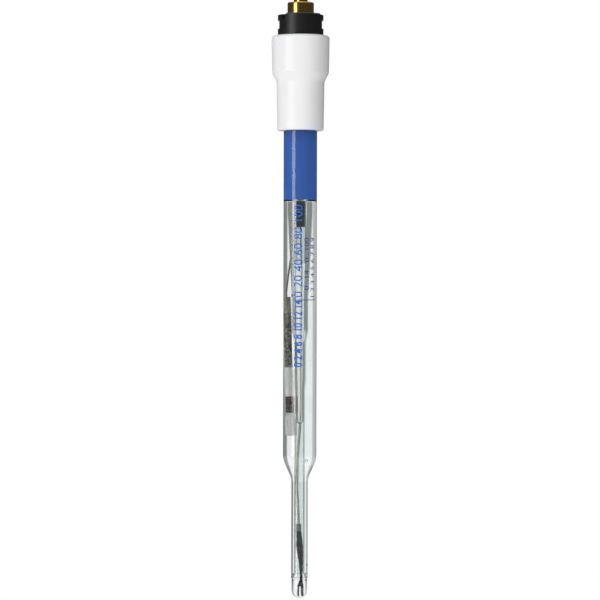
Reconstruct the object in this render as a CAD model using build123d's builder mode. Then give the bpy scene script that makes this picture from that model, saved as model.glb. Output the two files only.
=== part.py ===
from build123d import *
import os

# Combination glass pH electrode with a plug head, in millimetres.
# The origin is on the axis, at the underside of the white head. +Z points to the plug, -Z to the glass tip.

# Glass shaft, a tube with a shoulder down to a slim tip tube
shaft_radius = 6.0
shaft_wall = 1.0
shaft_top = 12.0  # end of the glass inside the head
ground_neck_radius = 5.75  # ground end that the cement grips
ground_neck_start = -0.15  # just below the head, so a holder on the shaft stays clear of it
shoulder_top = -118.05  # corner of shaft and cone
shoulder_bottom = -124.9  # corner of cone and tip tube
shoulder_round = 9.0
tip_round = 6.0
tip_radius = 2.95
tip_wall = 0.65
fire_polish = 0.3

# Ring seal between the tip tube and the stem, and the membrane under it
seal_end = -160.4
seal_height = 1.2  # from the bottom of the round channel to the end of the seal
bulb_radius = 2.8
bulb_wall = 0.35
bulb_bottom = -167.9
bulb_neck_radius = 1.7
bulb_neck_height = 0.5
bulb_shoulder_height = 0.9

# Inner stem, narrowed in two steps
stem_top = 15.0
stem_wide_radius = 3.3
stem_wide_end = -30.0
stem_waist_radius = 2.2
stem_waist_start = -60.0
stem_waist_end = -71.6
stem_middle_radius = 1.65
stem_middle_start = -75.9
stem_middle_end = -88.8
stem_slim_radius = 1.4
stem_slim_start = -93.9
stem_wide_wall = 0.45
stem_middle_wall = 0.4
stem_slim_wall = 0.35
stem_taper_round = 12.0
stem_neck_round = 3.0
stem_flare_start = -158.2

# Levels of the two fillings
buffer_level = -105.2
buffer_rise = 0.8  # how far the level climbs at the wall
electrolyte_level = -25.5
electrolyte_rise = 0.6

# Blue sleeve, stoppers and cement
blue_bottom = -24.9
blue_bore_radius = 3.8
shaft_stopper_height = 4.0
stem_stopper_height = 4.0
cement_bottom = 1.5

# Head shell
head_foot_wall = 2.33  # from the shaft to the outside of the foot
head_draft = 0.27  # by which the foot and the body each widen upwards
head_step = 1.58  # from the neck out to the body
head_height = 34.1
head_neck_share = 0.516  # of the head's height
head_shoulder_height = 3.1
head_foot_round = 0.5
head_neck_round = 2.0
head_shoulder_round = 0.6
head_top_round = 1.1
head_cavity_rise = 3.6  # above the neck
head_deck = 5.6

# Black collar and its spigot
collar_radius = 8.2
collar_height = 7.76
collar_edge = 0.3
spigot_radius = 6.6
spigot_length = 7.0
spigot_gap = 0.05  # between the spigot and the bore of the head
seal_groove_depth = 1.1
seal_groove_width = 1.6
seal_groove_depth_below = 2.9  # from the collar's flange down to the groove
track_floor_radius = 7.7
track_rise = 2.4  # from the head up to the tracks
track_width = 3.1
track_start = 150.0  # degrees round the axis, from +X
track_sweep = 78.0
entry_start = 217.0
entry_sweep = 14.0
lug_drop = 0.4
lug_inner_radius = 5.8
screen_hole_radius = 0.55
screen_hole_place = 4.3

# Contacts and insulators of the plug
outer_ring_radius = 4.75
outer_ring_wall = 0.85
outer_ring_rise = 4.24  # above the collar
outer_ring_round = 0.5
outer_ring_step = 0.25  # from the ring in to its neck
ring_seat_depth = 3.36  # from the top of the collar
inner_ring_radius = 2.5
inner_ring_wall = 0.6
inner_ring_rise = 3.1  # above the outer ring
inner_ring_depth = 6.86  # below the top of the collar
inner_ring_round = 0.3
pin_radius = 0.75
pin_rise = 0.8  # above the inner ring
pin_depth = 1.5  # below the inner ring
pin_round = 0.45
outer_insulator_drop = 0.7  # below the rim of the outer ring
inner_insulator_drop = 0.8
insulator_skirt_radius = 3.2
insulator_depth = 3.0  # below the seat of the outer ring

# Lead in the stem, its wire, the ferrule and the inner electrode
jacket_radius = 1.6
jacket_offset = 0.15
jacket_cover = 4.0  # of potting above the end of the jacket
jacket_bottom = -34.6
guide_radius = 2.2
guide_wall = 0.25
wire_radius = 0.35
ferrule_radius = 0.75
ferrule_top = -141.2
ferrule_bottom = -143.9
ferrule_offset = -0.24
ferrule_bore_depth = 1.2
ferrule_round = 0.3
prong_root = -163.0
prong_tip = -166.7
left_prong_offset = -0.28
left_prong_radius = 0.27
right_prong_offset = 0.77
right_prong_radius = 0.37
prong_round = 0.15
coat_start_radius = 0.6
coat_start_shift = 0.1

# Route of the wire: places of its lower bends, from the jacket down to the ferrule, and the radii of all bends
wire_straight = 6.5  # from the pin straight down
wire_exit = 2.0  # straight out of either end of the jacket
lower_wire_places = [(0.62, -50.0), (0.36, -84.0), (0.3, -102.0), (-0.55, -118.0), (-0.68, -128.0)]
wire_last_bend = -139.0
wire_bends = [8.0, 8.0, 20.0, 40.0, 60.0, 40.0, 30.0, 20.0, 12.0]

# Sections of the inner electrode from the top down: height, offset from the axis, radius
electrode_sections = [
    (ferrule_bottom, ferrule_offset + coat_start_shift, coat_start_radius),
    (-147.2, 0.0, 0.75),
    (-150.8, 0.16, 0.8),
    (-154.3, 0.4, 0.58),
    (-157.4, 0.46, 0.5),
    (-159.9, 0.5, 0.36),
    (-161.4, 0.45, 0.45),
    (prong_root - 0.6, 0.36, 0.66),
]

# Reference cartridge, which leans from the wall of the shaft towards the slim part of the stem
cartridge_foot_x = -2.1
cartridge_foot_y = 1.9
cartridge_foot_height = -109.5
cartridge_head_x = -3.38
cartridge_head_y = 1.25
cartridge_head_height = -59.7
cartridge_radius = 1.15
cartridge_wall = 0.25
frit_radius = 1.25
frit_length = 7.2
frit_spigot = 1.0
frit_edge = 0.25
trap_length = 5.9
plug_length = 10.4
fill_length = 19.4
silver_radius = 0.2
silver_depth = 8.5  # how far the silver wire reaches into the cartridge
silver_exit = 2.0  # how far it runs straight out of the cartridge
silver_climb_x = -1.9  # where it climbs behind the stem
silver_climb_y = 3.01
silver_climb_start = -44.0
silver_exit_bend = 4.0
silver_climb_bend = 8.0

# Ceramic junction and leads in the head
junction_height = -155.9
junction_radius = 0.4
junction_inside = 0.2
lead_radius = 0.45
lead_bend_rise = 4.0  # of the reference lead's two bends, above and below its middle
lead_turn_radius = 5.0
screen_turn_depth = 1.5  # of the screen lead's lower bend in the potting
screen_turn_rise = 2.0
screen_turn_radius = 2.0

os.makedirs("parts", exist_ok=True)

shaft_bore = shaft_radius - shaft_wall
tip_bore = tip_radius - tip_wall
stem_wide_bore = stem_wide_radius - stem_wide_wall
stem_waist_bore = stem_waist_radius - stem_wide_wall
stem_middle_bore = stem_middle_radius - stem_middle_wall
stem_slim_bore = stem_slim_radius - stem_slim_wall
bulb_bore = bulb_radius - bulb_wall
bulb_centre = bulb_bottom + bulb_radius
silver_top = stem_top + 0.5
head_foot_radius = shaft_radius + head_foot_wall
head_neck_radius = head_foot_radius + head_draft
head_body_radius = head_neck_radius + head_step
head_top_radius = head_body_radius + head_draft
head_neck_height = head_height * head_neck_share
head_body_height = head_neck_height + head_shoulder_height
head_cavity_radius = head_neck_radius
head_cavity_low = head_neck_height + head_cavity_rise
cement_radius = (ground_neck_radius + head_foot_radius) / 2
spigot_bottom = head_height - spigot_length
seal_groove_height = head_height - seal_groove_depth_below
potting_top = (head_cavity_low + spigot_bottom) / 2
jacket_top = potting_top - jacket_cover
collar_top = head_height + collar_height
track_bottom = head_height + track_rise
track_top = track_bottom + track_width
ring_seat = collar_top - ring_seat_depth
outer_ring_top = collar_top + outer_ring_rise
outer_ring_neck_radius = outer_ring_radius - outer_ring_step
inner_ring_top = outer_ring_top + inner_ring_rise
inner_ring_bottom = collar_top - inner_ring_depth
pin_top = inner_ring_top + pin_rise
pin_bottom = inner_ring_bottom - pin_depth
outer_insulator_top = outer_ring_top - outer_insulator_drop
inner_insulator_top = inner_ring_top - inner_insulator_drop
insulator_bottom = ring_seat - insulator_depth
lead_middle = (silver_top + inner_ring_bottom) / 2
screen_turn_low = potting_top - screen_turn_depth
screen_turn_high = potting_top + screen_turn_rise
wire_points = [
    (0, 0, pin_bottom),
    (0, 0, pin_bottom - wire_straight),
    (jacket_offset, 0, jacket_top + wire_exit),
    (jacket_offset, 0, jacket_bottom - wire_exit),
    *[(place_x, 0, height) for place_x, height in lower_wire_places],
    (ferrule_offset, 0, wire_last_bend),
    (ferrule_offset, 0, ferrule_top - ferrule_bore_depth),
]
cartridge_foot = Vector(cartridge_foot_x, cartridge_foot_y, cartridge_foot_height)
cartridge_head = Vector(cartridge_head_x, cartridge_head_y, cartridge_head_height)
stem_rounds = [stem_taper_round, stem_taper_round] + [stem_neck_round] * 4


def stem_outline(wide, waist, middle, slim, top, bottom):
    """Corners of the stem's wall at four radii, from the top down."""
    return [
        (wide, top),
        (wide, stem_wide_end),
        (waist, stem_waist_start),
        (waist, stem_waist_end),
        (middle, stem_middle_start),
        (middle, stem_middle_end),
        (slim, stem_slim_start),
        (slim, bottom),
    ]


# Glass shaft: one revolved wall, open at the top and at the ring seal, with the hole of the junction
with BuildPart() as outer_glass:
    with BuildSketch(Plane.XZ):
        with BuildLine():
            outside = FilletPolyline(
                (shaft_radius, ground_neck_start),
                (shaft_radius, shoulder_top),
                (tip_radius, shoulder_bottom),
                (tip_radius, seal_end),
                radius=[shoulder_round, tip_round],
            )
            inside = FilletPolyline(
                (shaft_bore, shaft_top),
                (shaft_bore, shoulder_top),
                (tip_bore, shoulder_bottom),
                (tip_bore, seal_end),
                radius=[shoulder_round - shaft_wall, tip_round + tip_wall],
            )
            Line(outside @ 1, inside @ 1)
            Polyline(
                inside @ 0,
                (ground_neck_radius - fire_polish, shaft_top),
                (ground_neck_radius, shaft_top - fire_polish),
                (ground_neck_radius, ground_neck_start),
                outside @ 0,
            )
        make_face()
    revolve(axis=Axis.Z)
    with BuildSketch(Plane.YZ.offset(tip_bore - shaft_wall)):
        with Locations((0, junction_height)):
            Circle(junction_radius)
    extrude(amount=shaft_radius, mode=Mode.SUBTRACT)
outer_glass.part.label = "outer_glass"

# Inner stem: its foot flares to the tip tube and leaves a round channel above the ring seal
channel_centre = (stem_slim_radius + tip_bore) / 2
channel_radius = (tip_bore - stem_slim_radius) / 2
channel_height = seal_end + seal_height + channel_radius
with BuildPart() as inner_stem:
    with BuildSketch(Plane.XZ):
        with BuildLine():
            outside = FilletPolyline(
                *stem_outline(
                    stem_wide_radius,
                    stem_waist_radius,
                    stem_middle_radius,
                    stem_slim_radius,
                    stem_top,
                    channel_height,
                ),
                radius=stem_rounds,
            )
            inside = FilletPolyline(
                *stem_outline(
                    stem_wide_bore,
                    stem_waist_bore,
                    stem_middle_bore,
                    stem_slim_bore,
                    stem_top,
                    stem_flare_start,
                ),
                radius=stem_rounds,
            )
            channel = CenterArc((channel_centre, channel_height), channel_radius, 180, 180)
            flare = TangentArc(inside @ 1, (bulb_neck_radius, seal_end), tangent=inside % 1)
            Polyline(channel @ 1, (tip_bore, seal_end), flare @ 1)
            Line(outside @ 0, inside @ 0)
        make_face()
    revolve(axis=Axis.Z)
inner_stem.part.label = "inner_stem"

# Membrane: a thin bulb, drawn in where it is fused to the seal
with BuildPart() as glass_membrane:
    with BuildSketch(Plane.XZ):
        with BuildLine():
            dome = CenterArc((0, bulb_centre), bulb_radius, 270, 90)
            hollow = CenterArc((0, bulb_centre), bulb_bore, 270, 90)
            Line(dome @ 0, hollow @ 0)
            Polyline(
                dome @ 1,
                (bulb_radius, seal_end - bulb_neck_height),
                (tip_radius, seal_end),
                (bulb_neck_radius, seal_end),
                (bulb_neck_radius, seal_end - bulb_neck_height),
                (bulb_bore, seal_end - bulb_neck_height - bulb_shoulder_height),
                hollow @ 1,
            )
        make_face()
    revolve(axis=Axis.Z)
glass_membrane.part.label = "glass_membrane"

# Ceramic junction: a rod through the wall of the tip, ground flush outside
with BuildPart() as junction_pin:
    with BuildSketch(Plane.YZ.offset(tip_bore - junction_inside)):
        with Locations((0, junction_height)):
            Circle(junction_radius)
    extrude(amount=tip_radius)
    with BuildSketch(Plane.XY.offset(junction_height - tip_radius)):
        Circle(tip_radius)
    extrude(amount=2 * tip_radius, mode=Mode.INTERSECT)
junction_pin.part.label = "junction_pin"

# Blue sleeve between the two tubes, from the stopper to just below the head
with BuildPart() as blue_sleeve:
    with BuildSketch(Plane.XY.offset(blue_bottom)):
        Circle(shaft_bore)
        Circle(blue_bore_radius, mode=Mode.SUBTRACT)
    extrude(amount=shaft_top - shaft_stopper_height - blue_bottom)
blue_sleeve.part.label = "blue_sleeve"

# Silver wire: it leaves the cartridge, swings behind the stem and climbs to the stopper
cartridge_lean = (cartridge_head - cartridge_foot).normalized()
silver_end = cartridge_head - cartridge_lean * silver_depth
with BuildPart() as reference_wire:
    with BuildLine():
        silver_route = FilletPolyline(
            silver_end,
            cartridge_head + cartridge_lean * silver_exit,
            (silver_climb_x, silver_climb_y, silver_climb_start),
            (silver_climb_x, silver_climb_y, silver_top),
            radius=[silver_exit_bend, silver_climb_bend],
        )
    with BuildSketch(Plane(origin=silver_route @ 0, z_dir=silver_route % 0)):
        Circle(silver_radius)
    sweep()
reference_wire.part.label = "reference_wire"

# Reference cartridge: each filling is a plug in the bore of the tube, from the frit upwards
cartridge_plane = Plane(origin=cartridge_foot, z_dir=cartridge_lean)
cartridge_bore = cartridge_radius - cartridge_wall
cartridge_length = (cartridge_head - cartridge_foot).length
trap_start = frit_length + frit_spigot
plug_start = trap_start + trap_length
fill_start = plug_start + plug_length
packing_start = fill_start + fill_length

with BuildPart() as cartridge_tube:
    with BuildSketch(cartridge_plane.offset(frit_length)):
        Circle(cartridge_radius)
        Circle(cartridge_bore, mode=Mode.SUBTRACT)
    extrude(amount=cartridge_length - frit_length)
cartridge_tube.part.label = "cartridge_tube"

with BuildPart() as cartridge_frit:
    with BuildSketch(cartridge_plane):
        Circle(frit_radius)
    extrude(amount=frit_length)
    chamfer(cartridge_frit.edges().sort_by(Axis.Z)[0], length=frit_edge)
    with BuildSketch(cartridge_plane.offset(frit_length)):
        Circle(cartridge_bore)
    extrude(amount=frit_spigot)
cartridge_frit.part.label = "cartridge_frit"

with BuildPart() as ion_trap:
    with BuildSketch(cartridge_plane.offset(trap_start)):
        Circle(cartridge_bore)
    extrude(amount=trap_length)
ion_trap.part.label = "ion_trap"

with BuildPart() as cartridge_plug:
    with BuildSketch(cartridge_plane.offset(plug_start)):
        Circle(cartridge_bore)
    extrude(amount=plug_length)
cartridge_plug.part.label = "cartridge_plug"

with BuildPart() as cartridge_fill:
    with BuildSketch(cartridge_plane.offset(fill_start)):
        Circle(cartridge_bore)
    extrude(amount=fill_length)
    add(reference_wire.part, mode=Mode.SUBTRACT)
cartridge_fill.part.label = "cartridge_fill"

with BuildPart() as cartridge_packing:
    with BuildSketch(cartridge_plane.offset(packing_start)):
        Circle(cartridge_bore)
    extrude(amount=cartridge_length - packing_start)
    add(reference_wire.part, mode=Mode.SUBTRACT)
cartridge_packing.part.label = "cartridge_packing"

# Black jacket of the lead, with the wire through its middle
with BuildPart() as lead_jacket:
    with BuildSketch(Plane.XY.offset(jacket_bottom)):
        with Locations((jacket_offset, 0)):
            Circle(jacket_radius)
            Circle(wire_radius, mode=Mode.SUBTRACT)
    extrude(amount=jacket_top - jacket_bottom)
lead_jacket.part.label = "lead_jacket"

# Clear tube round the lead: it drops in until it seats on the taper of the stem
stem_taper = (stem_wide_bore - stem_waist_bore) / (stem_wide_end - stem_waist_start)
guide_bottom = stem_wide_end - (stem_wide_bore - guide_radius) / stem_taper
with BuildPart() as lead_tube:
    with BuildSketch(Plane.XY.offset(guide_bottom)):
        Circle(guide_radius)
        Circle(guide_radius - guide_wall, mode=Mode.SUBTRACT)
    extrude(amount=stem_top - stem_stopper_height - guide_bottom)
lead_tube.part.label = "lead_tube"

# Ivory wire, from the pin of the plug to the ferrule
with BuildPart() as signal_wire:
    with BuildLine():
        wire_route = FilletPolyline(*wire_points, radius=wire_bends)
    with BuildSketch(Plane(origin=wire_route @ 0, z_dir=wire_route % 0)):
        Circle(wire_radius)
    sweep()
signal_wire.part.label = "signal_wire"

# Ferrule: a barrel with a blind bore for the wire
ferrule_plane = Plane.XY.offset(ferrule_bottom)
with BuildPart() as wire_ferrule:
    with BuildSketch(ferrule_plane):
        with Locations((ferrule_offset, 0)):
            Circle(ferrule_radius)
    extrude(amount=ferrule_top - ferrule_bottom)
    fillet(wire_ferrule.edges().group_by(Axis.Z)[-1], radius=ferrule_round)
    with BuildSketch(Plane.XY.offset(ferrule_top)):
        with Locations((ferrule_offset, 0)):
            Circle(wire_radius)
    extrude(amount=-ferrule_bore_depth, mode=Mode.SUBTRACT)
wire_ferrule.part.label = "wire_ferrule"

# Inner electrode: a coated wire that swells, narrows through the seal and forks in the bulb
with BuildPart() as inner_electrode:
    for height, offset_x, radius in electrode_sections:
        with BuildSketch(Plane.XY.offset(height)):
            with Locations((offset_x, 0)):
                Circle(radius)
    loft()
    for offset_x, radius in (
        (left_prong_offset, left_prong_radius),
        (right_prong_offset, right_prong_radius),
    ):
        with BuildSketch(Plane.XY.offset(prong_tip)):
            with Locations((offset_x, 0)):
                Circle(radius)
        extrude(amount=prong_root - prong_tip)
    fillet(inner_electrode.edges().group_by(Axis.Z)[0], radius=prong_round)
inner_electrode.part.label = "inner_electrode"

# Inner buffer: the stem's bore from the rounded level down, and the bulb
with BuildPart() as inner_buffer:
    with BuildSketch(Plane.XZ):
        with BuildLine():
            level = RadiusArc(
                (0, buffer_level),
                (stem_slim_bore, buffer_level + buffer_rise),
                -(stem_slim_bore**2 + buffer_rise**2) / (2 * buffer_rise),
            )
            wall = Line(level @ 1, (stem_slim_bore, stem_flare_start))
            flare = TangentArc(wall @ 1, (bulb_neck_radius, seal_end), tangent=wall % 1)
            hollow = CenterArc((0, bulb_centre), bulb_bore, 270, 90)
            Polyline(
                flare @ 1,
                (bulb_neck_radius, seal_end - bulb_neck_height),
                (bulb_bore, seal_end - bulb_neck_height - bulb_shoulder_height),
                hollow @ 1,
            )
            Line(hollow @ 0, level @ 0)
        make_face()
    revolve(axis=Axis.Z)
    add(signal_wire.part, mode=Mode.SUBTRACT)
    add(wire_ferrule.part, mode=Mode.SUBTRACT)
    add(inner_electrode.part, mode=Mode.SUBTRACT)
inner_buffer.part.label = "inner_buffer"

# Reference electrolyte: all that is left between the shaft and the stem, below the blue sleeve
with BuildPart() as reference_electrolyte:
    with BuildSketch(Plane.XZ):
        with BuildLine():
            outside = FilletPolyline(
                (shaft_bore, electrolyte_level + electrolyte_rise),
                (shaft_bore, shoulder_top),
                (tip_bore, shoulder_bottom),
                (tip_bore, channel_height),
                radius=[shoulder_round - shaft_wall, tip_round + tip_wall],
            )
            inside = FilletPolyline(
                *stem_outline(
                    stem_wide_radius,
                    stem_waist_radius,
                    stem_middle_radius,
                    stem_slim_radius,
                    electrolyte_level + electrolyte_rise,
                    channel_height,
                ),
                radius=stem_rounds,
            )
            CenterArc((channel_centre, channel_height), channel_radius, 180, 180)
            ThreePointArc(
                inside @ 0,
                ((shaft_bore + stem_wide_radius) / 2, electrolyte_level),
                outside @ 0,
            )
        make_face()
    revolve(axis=Axis.Z)
    for piece in (
        reference_wire,
        cartridge_tube,
        cartridge_frit,
        ion_trap,
        cartridge_plug,
        cartridge_fill,
        cartridge_packing,
        junction_pin,
    ):
        add(piece.part, mode=Mode.SUBTRACT)
reference_electrolyte.part.label = "reference_electrolyte"

# Stoppers that close the two glass tubes round what passes through them
with BuildPart() as shaft_stopper:
    with BuildSketch(Plane.XY.offset(shaft_top - shaft_stopper_height)):
        Circle(shaft_bore)
        Circle(stem_wide_radius, mode=Mode.SUBTRACT)
    extrude(amount=shaft_stopper_height)
    add(reference_wire.part, mode=Mode.SUBTRACT)
shaft_stopper.part.label = "shaft_stopper"

with BuildPart() as stem_stopper:
    with BuildSketch(Plane.XY.offset(stem_top - stem_stopper_height)):
        Circle(stem_wide_bore)
        with Locations((jacket_offset, 0)):
            Circle(jacket_radius, mode=Mode.SUBTRACT)
    extrude(amount=stem_stopper_height)
stem_stopper.part.label = "stem_stopper"

# Cement in the foot of the head, round the ground end of the glass
with BuildPart() as shaft_cement:
    with BuildSketch(Plane.XY.offset(cement_bottom)):
        Circle(cement_radius)
        Circle(ground_neck_radius, mode=Mode.SUBTRACT)
    extrude(amount=shaft_top - fire_polish - cement_bottom)
shaft_cement.part.label = "shaft_cement"

# Head shell: a moulded cap with a shoulder, a foot that fits the glass and a deck that holds the collar
deck_bore = spigot_radius + spigot_gap
with BuildPart() as head_shell:
    with BuildSketch(Plane.XZ):
        with BuildLine():
            outside = FilletPolyline(
                (shaft_radius, 0),
                (head_foot_radius, 0),
                (head_neck_radius, head_neck_height),
                (head_body_radius, head_body_height),
                (head_top_radius, head_height),
                (deck_bore, head_height),
                radius=[head_foot_round, head_neck_round, head_shoulder_round, head_top_round],
            )
            Polyline(
                outside @ 1,
                (deck_bore, head_height - head_deck),
                (head_cavity_radius, head_height - head_deck),
                (head_cavity_radius, head_cavity_low),
                (cement_radius, head_neck_height),
                (cement_radius, cement_bottom),
                (shaft_radius, cement_bottom),
                outside @ 0,
            )
        make_face()
    revolve(axis=Axis.Z)
head_shell.part.label = "head_shell"

# Collar: a flanged body with two bayonet tracks at its sides and an entry slot into each
with BuildPart() as coupling_body:
    with BuildSketch(Plane.XZ):
        with BuildLine():
            Polyline(
                (insulator_skirt_radius, spigot_bottom),
                (spigot_radius, spigot_bottom),
                (spigot_radius, seal_groove_height),
                (spigot_radius - seal_groove_depth, seal_groove_height),
                (spigot_radius - seal_groove_depth, seal_groove_height + seal_groove_width),
                (spigot_radius, seal_groove_height + seal_groove_width),
                (spigot_radius, head_height),
                (collar_radius - collar_edge, head_height),
                (collar_radius, head_height + collar_edge),
                (collar_radius, collar_top - collar_edge),
                (collar_radius - collar_edge, collar_top),
                (outer_ring_neck_radius, collar_top),
                (outer_ring_neck_radius, ring_seat),
                (insulator_skirt_radius, ring_seat),
                close=True,
            )
        make_face()
    revolve(axis=Axis.Z)
    for floor_radius, bottom, top, start, span in (
        (track_floor_radius, track_bottom, track_top, track_start, track_sweep),
        (track_floor_radius, track_bottom, collar_top, entry_start, entry_sweep),
        (lug_inner_radius, collar_top - lug_drop, collar_top, track_start, track_sweep),
    ):
        for turn in (0, 180):
            with BuildSketch(Plane.XY.offset(bottom)):
                with BuildLine():
                    far = CenterArc((0, 0), collar_radius + 1, start + turn, span)
                    near = CenterArc((0, 0), floor_radius, start + turn, span)
                    Line(far @ 0, near @ 0)
                    Line(far @ 1, near @ 1)
                make_face()
            extrude(amount=top - bottom, mode=Mode.SUBTRACT)
    with BuildSketch(Plane.XY.offset(spigot_bottom)):
        with Locations((screen_hole_place, 0)):
            Circle(screen_hole_radius)
    extrude(amount=ring_seat - spigot_bottom, mode=Mode.SUBTRACT)
coupling_body.part.label = "coupling_body"

# O-ring in the groove of the spigot
seal_section = (deck_bore - spigot_radius + seal_groove_depth) / 2
with BuildPart() as coupling_seal:
    with BuildSketch(Plane.XZ):
        with Locations((deck_bore - seal_section, seal_groove_height + seal_groove_width / 2)):
            Circle(seal_section)
    revolve(axis=Axis.Z)
coupling_seal.part.label = "coupling_seal"

# Outer ring: its neck sits in the collar, its wider part stands above
with BuildPart() as outer_contact_ring:
    with BuildSketch(Plane.XZ):
        with BuildLine():
            outside = FilletPolyline(
                (outer_ring_radius, collar_top),
                (outer_ring_radius, outer_ring_top),
                (outer_ring_radius - outer_ring_wall, outer_ring_top),
                radius=outer_ring_round,
            )
            Polyline(
                outside @ 1,
                (outer_ring_radius - outer_ring_wall, ring_seat),
                (outer_ring_neck_radius, ring_seat),
                (outer_ring_neck_radius, collar_top),
                outside @ 0,
            )
        make_face()
    revolve(axis=Axis.Z)
outer_contact_ring.part.label = "outer_contact_ring"

with BuildPart() as outer_insulator:
    with BuildSketch(Plane.XZ):
        with BuildLine():
            Polyline(
                (inner_ring_radius, insulator_bottom),
                (insulator_skirt_radius, insulator_bottom),
                (insulator_skirt_radius, ring_seat),
                (outer_ring_radius - outer_ring_wall, ring_seat),
                (outer_ring_radius - outer_ring_wall, outer_insulator_top),
                (inner_ring_radius, outer_insulator_top),
                close=True,
            )
        make_face()
    revolve(axis=Axis.Z)
outer_insulator.part.label = "outer_insulator"

with BuildPart() as inner_contact_ring:
    with BuildSketch(Plane.XY.offset(inner_ring_bottom)):
        Circle(inner_ring_radius)
        Circle(inner_ring_radius - inner_ring_wall, mode=Mode.SUBTRACT)
    extrude(amount=inner_ring_top - inner_ring_bottom)
    rim = inner_contact_ring.edges().group_by(Axis.Z)[-1].sort_by(SortBy.RADIUS)[-1]
    fillet(rim, radius=inner_ring_round)
inner_contact_ring.part.label = "inner_contact_ring"

with BuildPart() as inner_insulator:
    with BuildSketch(Plane.XY.offset(insulator_bottom)):
        Circle(inner_ring_radius - inner_ring_wall)
        Circle(pin_radius, mode=Mode.SUBTRACT)
    extrude(amount=inner_insulator_top - insulator_bottom)
inner_insulator.part.label = "inner_insulator"

with BuildPart() as centre_contact:
    with BuildSketch(Plane.XY.offset(pin_bottom)):
        Circle(pin_radius)
    extrude(amount=pin_top - pin_bottom)
    fillet(centre_contact.edges().group_by(Axis.Z)[-1], radius=pin_round)
centre_contact.part.label = "centre_contact"

# Leads in the head: the reference lead ends under the inner ring, the screen lead under the outer one
lead_place = Vector(-1, 1, 0).normalized() * (inner_ring_radius - inner_ring_wall / 2)
with BuildPart() as reference_lead:
    with BuildLine():
        reference_route = FilletPolyline(
            (silver_climb_x, silver_climb_y, silver_top),
            (silver_climb_x, silver_climb_y, lead_middle - lead_bend_rise),
            lead_place + Vector(0, 0, lead_middle + lead_bend_rise),
            lead_place + Vector(0, 0, inner_ring_bottom),
            radius=lead_turn_radius,
        )
    with BuildSketch(Plane(origin=reference_route @ 0, z_dir=reference_route % 0)):
        Circle(lead_radius)
    sweep()
reference_lead.part.label = "reference_lead"

screen_start = jacket_offset + (jacket_radius + wire_radius) / 2
with BuildPart() as screen_lead:
    with BuildLine():
        screen_route = FilletPolyline(
            (screen_start, 0, jacket_top),
            (screen_start, 0, screen_turn_low),
            (screen_hole_place, 0, screen_turn_high),
            (screen_hole_place, 0, ring_seat),
            radius=screen_turn_radius,
        )
    with BuildSketch(Plane(origin=screen_route @ 0, z_dir=screen_route % 0)):
        Circle(lead_radius)
    sweep()
screen_lead.part.label = "screen_lead"

# Potting: resin round the ends of the glass and the leads
with BuildPart() as head_potting:
    with BuildSketch(Plane.XZ):
        with BuildLine():
            Polyline(
                (0, shaft_top),
                (cement_radius, shaft_top),
                (cement_radius, head_neck_height),
                (head_cavity_radius, head_cavity_low),
                (head_cavity_radius, potting_top),
                (0, potting_top),
                close=True,
            )
        make_face()
    revolve(axis=Axis.Z)
    with BuildSketch(Plane.XY.offset(shaft_top)):
        Circle(stem_wide_radius)
    extrude(amount=stem_top - shaft_top, mode=Mode.SUBTRACT)
    for piece in (lead_jacket, signal_wire, screen_lead, reference_lead, reference_wire):
        add(piece.part, mode=Mode.SUBTRACT)
head_potting.part.label = "head_potting"

export_step(outer_glass.part, "parts/outer_glass.step")
export_step(inner_stem.part, "parts/inner_stem.step")
export_step(glass_membrane.part, "parts/glass_membrane.step")
export_step(junction_pin.part, "parts/junction_pin.step")
export_step(blue_sleeve.part, "parts/blue_sleeve.step")
export_step(reference_wire.part, "parts/reference_wire.step")
export_step(cartridge_tube.part, "parts/cartridge_tube.step")
export_step(cartridge_frit.part, "parts/cartridge_frit.step")
export_step(ion_trap.part, "parts/ion_trap.step")
export_step(cartridge_plug.part, "parts/cartridge_plug.step")
export_step(cartridge_fill.part, "parts/cartridge_fill.step")
export_step(cartridge_packing.part, "parts/cartridge_packing.step")
export_step(lead_jacket.part, "parts/lead_jacket.step")
export_step(lead_tube.part, "parts/lead_tube.step")
export_step(signal_wire.part, "parts/signal_wire.step")
export_step(wire_ferrule.part, "parts/wire_ferrule.step")
export_step(inner_electrode.part, "parts/inner_electrode.step")
export_step(inner_buffer.part, "parts/inner_buffer.step")
export_step(reference_electrolyte.part, "parts/reference_electrolyte.step")
export_step(shaft_stopper.part, "parts/shaft_stopper.step")
export_step(stem_stopper.part, "parts/stem_stopper.step")
export_step(shaft_cement.part, "parts/shaft_cement.step")
export_step(head_shell.part, "parts/head_shell.step")
export_step(coupling_body.part, "parts/coupling_body.step")
export_step(coupling_seal.part, "parts/coupling_seal.step")
export_step(outer_contact_ring.part, "parts/outer_contact_ring.step")
export_step(outer_insulator.part, "parts/outer_insulator.step")
export_step(inner_contact_ring.part, "parts/inner_contact_ring.step")
export_step(inner_insulator.part, "parts/inner_insulator.step")
export_step(centre_contact.part, "parts/centre_contact.step")
export_step(reference_lead.part, "parts/reference_lead.step")
export_step(screen_lead.part, "parts/screen_lead.step")
export_step(head_potting.part, "parts/head_potting.step")
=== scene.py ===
import math

import bmesh
import bpy
from mathutils import Matrix, Vector, noise


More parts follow.
